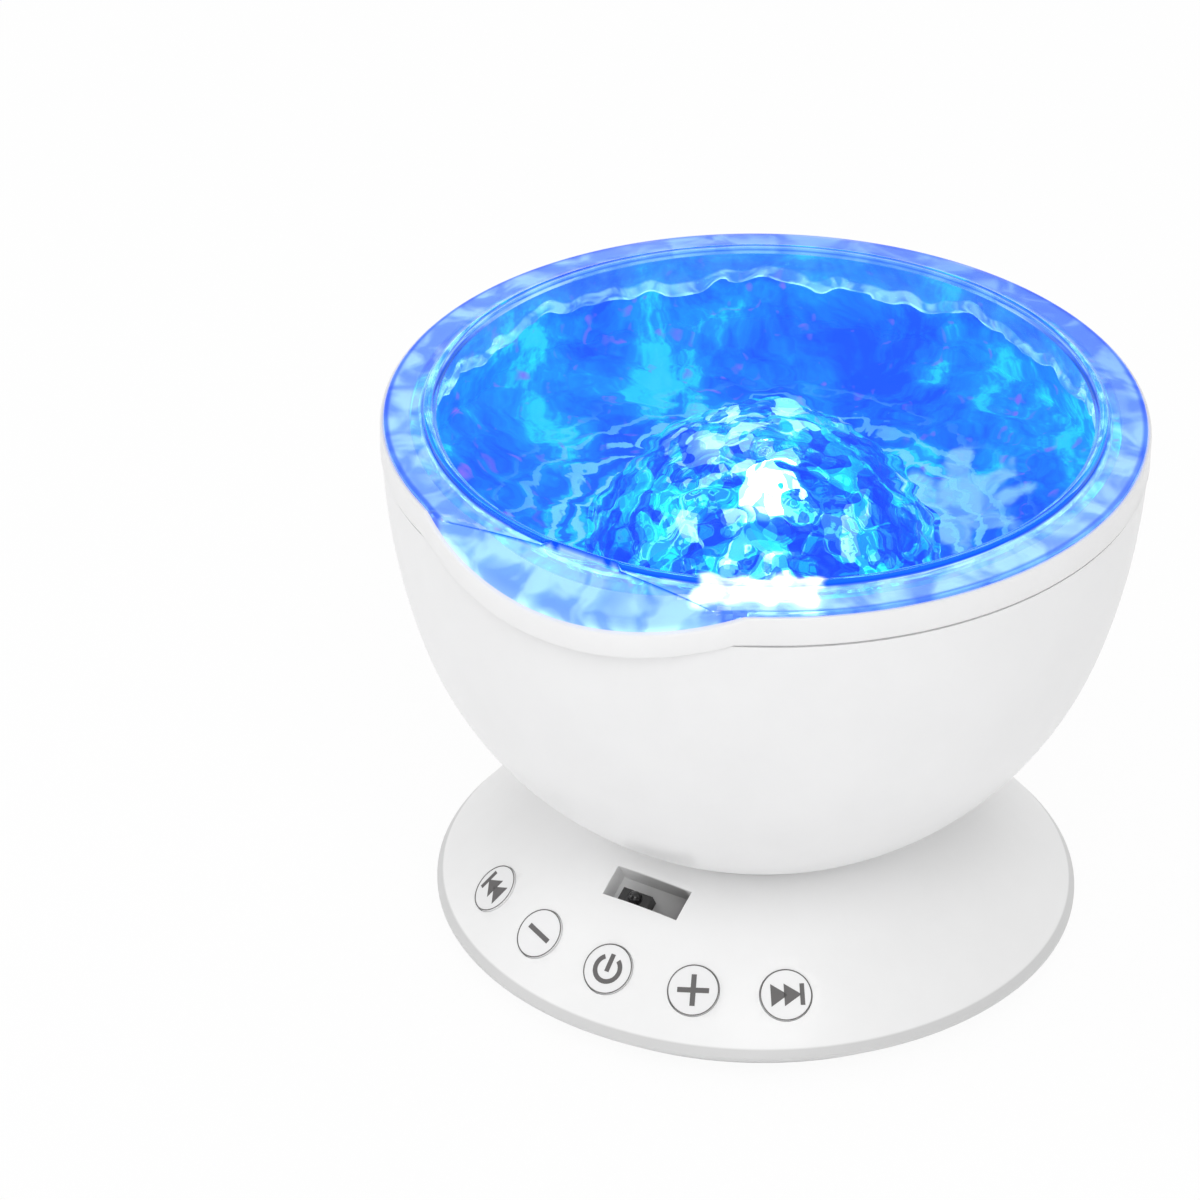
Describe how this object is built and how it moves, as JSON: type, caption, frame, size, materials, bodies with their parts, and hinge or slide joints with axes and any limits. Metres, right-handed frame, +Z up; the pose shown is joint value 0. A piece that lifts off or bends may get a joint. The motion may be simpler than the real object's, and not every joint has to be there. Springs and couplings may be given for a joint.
{
  "type": "ocean wave projector",
  "caption": "Bowl-shaped ocean wave projector with a clear rippled cover and a pouring lip, tilting in the cup of a domed base with round buttons and rear sockets.",
  "frame": {"origin": "on the floor under the middle of the object, on the base's upright axis", "axes": "+Z up; the front with the buttons, the receiver window and the pouring lip faces -Y, the sockets face +Y, and +X is the viewer's right when facing the front"},
  "size_m": [0.1256, 0.127, 0.0967],
  "materials": {
    "white_shell": "satin-gloss white moulding",
    "white_base": "satin white moulding, a little greyer than the shell",
    "white_bezel": "satin-gloss white moulding",
    "white_button": "satin white caps with grey printed icons",
    "clear_cover": "clear plastic with a rippled underside, lit blue from within",
    "clear_lens": "clear rippled plastic",
    "lit_dish": "white plastic washed by blue and violet light",
    "white_board": "white-coated circuit board",
    "blue_lamp": "lamp lens",
    "white_lamp": "lamp lens",
    "white_gear": "moulded",
    "grey_plastic": "moulded",
    "black_plastic": "moulded",
    "green_board": "coated circuit board",
    "grey_rubber": "matte",
    "painted_steel": "satin",
    "steel": "plated",
    "brass": "plain"
  },
  "bodies": {
    "base": {"base_shell": "white_shell", "base_plate": "white_base", "rubber_feet": "grey_rubber", "base_screws": "steel", "switch_carrier": "grey_plastic", "switch_boards": "green_board", "tact_switches": "black_plastic", "ir_receiver": "black_plastic", "speaker_gasket": "grey_rubber", "speaker_basket": "painted_steel", "speaker_cone": "black_plastic", "speaker_magnet": "steel", "speaker_screws": "steel", "control_board": "green_board", "board_screws": "steel", "power_socket": "black_plastic", "audio_socket": "black_plastic", "tilt_shoe": "grey_plastic", "pivot_tube": "brass", "pivot_nuts": "brass", "spring_washers": "steel"},
    "bowl": {"bowl_shell": "white_shell", "rim_bezel": "white_bezel", "wave_cover": "clear_cover", "reflector_dish": "lit_dish", "chassis_plate": "grey_plastic", "chassis_screws": "steel", "led_board": "white_board", "color_leds": "blue_lamp", "white_led": "white_lamp", "led_screws": "steel", "drive_motor": "painted_steel", "motor_screws": "steel"},
    "lens": {"ripple_dome": "clear_lens", "lens_gear": "white_gear"},
    "pinion": {"motor_pinion": "brass", "motor_shaft": "steel"},
    "previous": {"button_previous": "white_button"},
    "minus": {"button_minus": "white_button"},
    "power": {"button_power": "white_button"},
    "plus": {"button_plus": "white_button"},
    "next": {"button_next": "white_button"}
  },
  "joints": [
    {"name": "bowl_tilt", "type": "hinge", "parent": "base", "child": "bowl", "pos_m": [0, 0, 0.0768], "axis": [-1, 0, 0], "range_deg": [0, 45]},
    {"name": "lens_spin", "type": "hinge", "parent": "bowl", "child": "lens", "pos_m": [0, 0, 0.0635], "axis": [0, 0, 1], "continuous": true},
    {"name": "pinion_spin", "type": "hinge", "parent": "bowl", "child": "pinion", "pos_m": [-0.0345, 0, 0.0635], "axis": [0, 0, 1], "continuous": true},
    {"name": "previous_press", "type": "slide", "parent": "base", "child": "previous", "axis": [0.4029, 0.5347, -0.7428], "range_m": [0, 0.0006], "stiffness_N_per_m": 600},
    {"name": "minus_press", "type": "slide", "parent": "base", "child": "minus", "axis": [0.2124, 0.6349, -0.7428], "range_m": [0, 0.0006], "stiffness_N_per_m": 600},
    {"name": "power_press", "type": "slide", "parent": "base", "child": "power", "axis": [0, 0.6695, -0.7428], "range_m": [0, 0.0006], "stiffness_N_per_m": 600},
    {"name": "plus_press", "type": "slide", "parent": "base", "child": "plus", "axis": [-0.2124, 0.6349, -0.7428], "range_m": [0, 0.0006], "stiffness_N_per_m": 600},
    {"name": "next_press", "type": "slide", "parent": "base", "child": "next", "axis": [-0.4029, 0.5347, -0.7428], "range_m": [0, 0.0006], "stiffness_N_per_m": 600}
  ],
  "couplings": [
    {"joint": "pinion_spin", "follows": "lens_spin", "ratio": -4}
  ]
}
